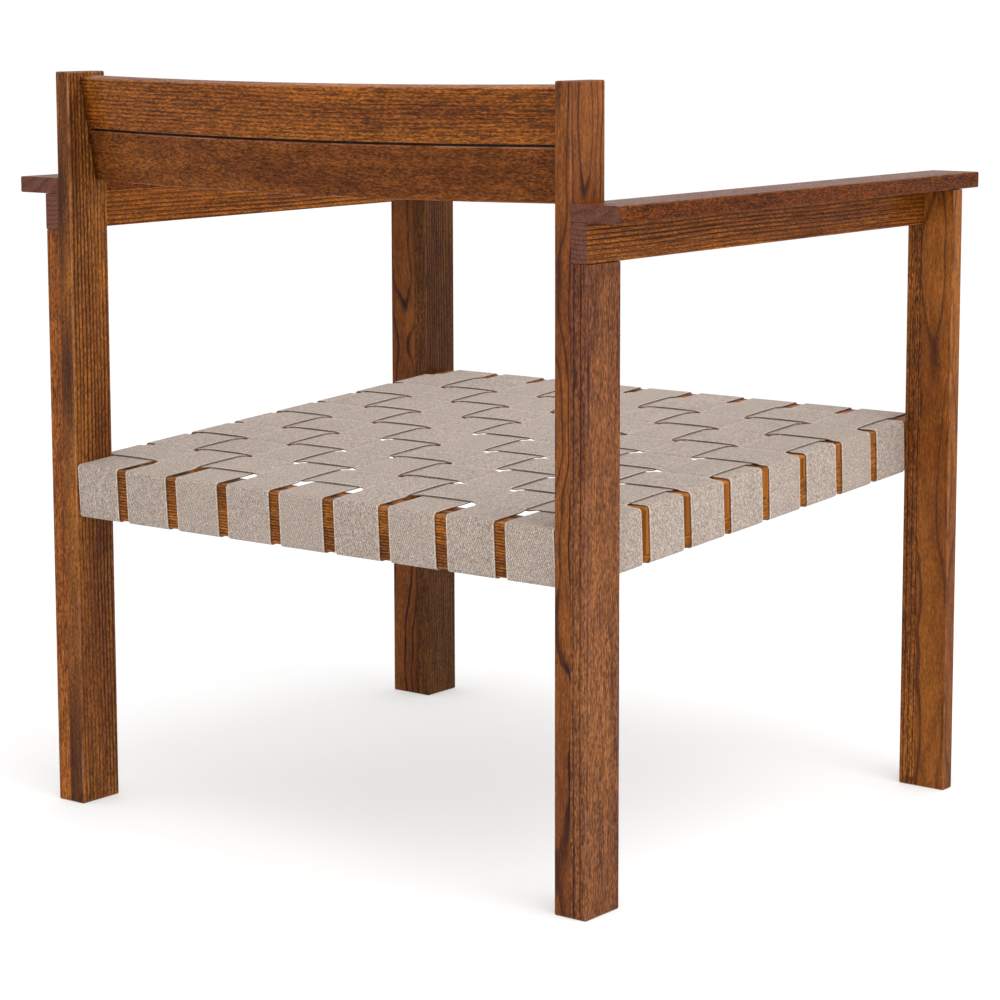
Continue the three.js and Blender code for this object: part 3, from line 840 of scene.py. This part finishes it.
def strap(node, line, to_world, seed, material):
    """A ribbon along the line. to_world(across, along, height) gives a point's place."""
    normals, lengths = [], [0.0]
    for i, point in enumerate(line):
        before, after = line[max(i - 1, 0)], line[min(i + 1, len(line) - 1)]
        ahead = (after - before).normalized()
        normals.append(Vector((-ahead.y, ahead.x)))
        if i:
            lengths.append(lengths[-1] + (point - line[i - 1]).length)
    total = lengths[-1]
    rnd = random.Random(seed)
    slow_phase, quick_phase, side_phase = (rnd.uniform(0, 2 * math.pi) for _ in range(3))

    def drift(s):
        """How far aside the strap lies, so that its sides aren't ruled lines."""
        slow = SLOW_DRIFT[0] * math.sin(s * 2 * math.pi / SLOW_DRIFT[1] + slow_phase)
        quick = QUICK_DRIFT[0] * math.sin(s * 2 * math.pi / QUICK_DRIFT[1] + quick_phase)
        return slow + quick

    def narrowing(s):
        return UNEVEN_SIDE * (1 + math.sin(s * UNEVEN_RATE + side_phase))

    def place(x, y, i):
        point = line[i] + normals[i] * y
        return to_world(x + drift(lengths[i]), point.x, point.y)

    obj = sweep(
        f"{node}_cloth",
        lambda inset, _: rounded_section(STRAP_W, CLOTH_T, [CLOTH_EDGE] * 4, inset),
        [(i, narrowing(s), 0) for i, s in enumerate(lengths)],
        place,
    )
    # The stations were numbered, so the numbers become lengths.
    layer = obj.data.attributes["grain"]
    values = [0.0] * (3 * len(obj.data.vertices))
    layer.data.foreach_get("vector", values)
    for k in range(2, len(values), 3):
        values[k] = lengths[int(round(values[k]))] - total / 2
    layer.data.foreach_set("vector", values)
    stand_in(obj, node, material)


def along_seat(world_y, height):
    """Distance along the seat of an upright plane, at a height above the rails' tops."""
    return (world_y - SEAT_BACK - height * math.sin(SEAT_RISE)) / math.cos(SEAT_RISE)


def build_webbing():
    column_half = INNER_HALF - 2 * JOINT
    column_pitch = (2 * column_half - STRAP_W) / (LONG_STRAPS - 1)
    front = along_seat(-BACK + BOARD_W + JOINT, -RAIL_H - STRAP_T - JOINT)
    back = along_seat(BACK - BOARD_W - JOINT, HIGH)
    row_pitch = (back - front - STRAP_W) / (CROSS_STRAPS - 1)

    def column_low(column):
        return column_half - STRAP_W - (column - 1) * column_pitch

    def row_low(row):
        return front + (row - 1) * row_pitch

    for column in range(1, LONG_STRAPS + 1):
        rows = range(1, CROSS_STRAPS + 1)
        cells = [(row_low(r), row_low(r) + STRAP_W, (column + r) % 2 == 0) for r in rows]
        middle = column_low(column) + STRAP_W / 2
        strap(
            f"webbing_lengthwise_{column}",
            woven_line(-SEAT_LENGTH, 0.0, cells),
            lambda x, t, h, middle=middle: SEAT @ Vector((middle - x, t, h)),
            200 + column,
            webbing(f"webbing_lengthwise_{column}_weave", 300 + column),
        )
    for row in range(1, CROSS_STRAPS + 1):
        columns = range(LONG_STRAPS, 0, -1)
        cells = [(column_low(c), column_low(c) + STRAP_W, (c + row) % 2 == 1) for c in columns]
        middle = row_low(row) + STRAP_W / 2
        strap(
            f"webbing_crosswise_{row}",
            woven_line(-RAIL_OUTER, RAIL_OUTER, cells),
            lambda x, t, h, middle=middle: SEAT @ Vector((t, middle + x, h)),
            230 + row,
            webbing(f"webbing_crosswise_{row}_weave", 330 + row),
        )


# ------------------------------------------------------- floor and light

FLOOR_SIZE = 12.0
FLOOR_STEPS = 8
FLOOR_DARK = (0.58, 0.58, 0.58)
FLOOR_LIGHT = (0.62, 0.62, 0.62)
WORLD_STRENGTH = 1.02
SEAT_MIDDLE = (0, 0, 0.35)


def build_floor():
    g = Graph("studio_floor")
    place = g.node("ShaderNodeTexCoord").outputs["Object"]
    mottle = g.noise(place, (3, 3, 3), detail=3.0)
    material = g.finish(
        Base_Color=g.mix(mottle, FLOOR_DARK, FLOOR_LIGHT),
        Roughness=g.math("MULTIPLY_ADD", mottle, 0.1, 0.75),
        Specular_IOR_Level=0.1,
        Emission_Color=(1, 1, 1),
        Emission_Strength=0.4,
    )
    row = FLOOR_STEPS + 1
    marks = [FLOOR_SIZE * (i / FLOOR_STEPS - 0.5) for i in range(row)]
    verts = [(x, y, 0) for y in marks for x in marks]
    starts = [j * row + i for j in range(FLOOR_STEPS) for i in range(FLOOR_STEPS)]
    faces = [(start, start + 1, start + row + 1, start + row) for start in starts]
    mesh = bpy.data.meshes.new("floor")
    mesh.from_pydata(verts, [], faces)
    mesh.materials.append(material)
    floor = bpy.data.objects.new("floor", mesh)
    bpy.context.scene.collection.objects.link(floor)


def area_light(name, place, size, power):
    """A rectangular light that aims at the middle of the seat."""
    data = bpy.data.lights.new(name, "AREA")
    data.shape = "RECTANGLE"
    data.size, data.size_y = size
    data.energy = power
    light = bpy.data.objects.new(name, data)
    light.location = place
    light.rotation_mode = "QUATERNION"
    light.rotation_quaternion = (Vector(place) - Vector(SEAT_MIDDLE)).to_track_quat("Z", "Y")
    bpy.context.scene.collection.objects.link(light)


def build_light():
    world = bpy.data.worlds.new("studio")
    world.use_nodes = True
    background = world.node_tree.nodes["Background"]
    background.inputs["Color"].default_value = (1, 1, 1, 1)
    background.inputs["Strength"].default_value = WORLD_STRENGTH
    bpy.context.scene.world = world
    area_light("key", (-1.3, 0.5, 2.6), (2.0, 2.0), 30)
    area_light("side", (-2.6, 0.3, 1.5), (1.6, 1.6), 11)
    area_light("behind", (1.5, 2.4, 1.0), (1.6, 1.8), 2)
    bpy.context.scene.view_settings.view_transform = "Standard"


# ---------------------------------------------------------------- camera

CAMERA_PLACE = (-1.7126, 2.2037, 0.7639)
CAMERA_YAW = math.radians(37.926)  # turned from looking along -Y towards +X
CAMERA_PITCH = math.radians(7.77)
CAMERA_ROLL = math.radians(0.129)
CAMERA_LENS = 105.18
CAMERA_SENSOR = 36
CAMERA_SHIFT = -0.10
CAMERA_CLIP = (0.05, 50)


def build_camera():
    data = bpy.data.cameras.new("camera")
    data.lens = CAMERA_LENS
    data.sensor_width = CAMERA_SENSOR
    data.shift_y = CAMERA_SHIFT
    data.clip_start, data.clip_end = CAMERA_CLIP
    camera = bpy.data.objects.new("camera", data)
    turn = Matrix.Rotation(math.pi + CAMERA_YAW, 4, "Z") @ Matrix.Rotation(math.pi / 2 - CAMERA_PITCH, 4, "X")
    camera.matrix_world = Matrix.Translation(CAMERA_PLACE) @ turn @ Matrix.Rotation(-CAMERA_ROLL, 4, "Z")
    bpy.context.scene.collection.objects.link(camera)
    bpy.context.scene.camera = camera


build_camera()
build_boards()
build_slats()
build_rails()
build_webbing()
build_dowels()
build_floor()
build_light()
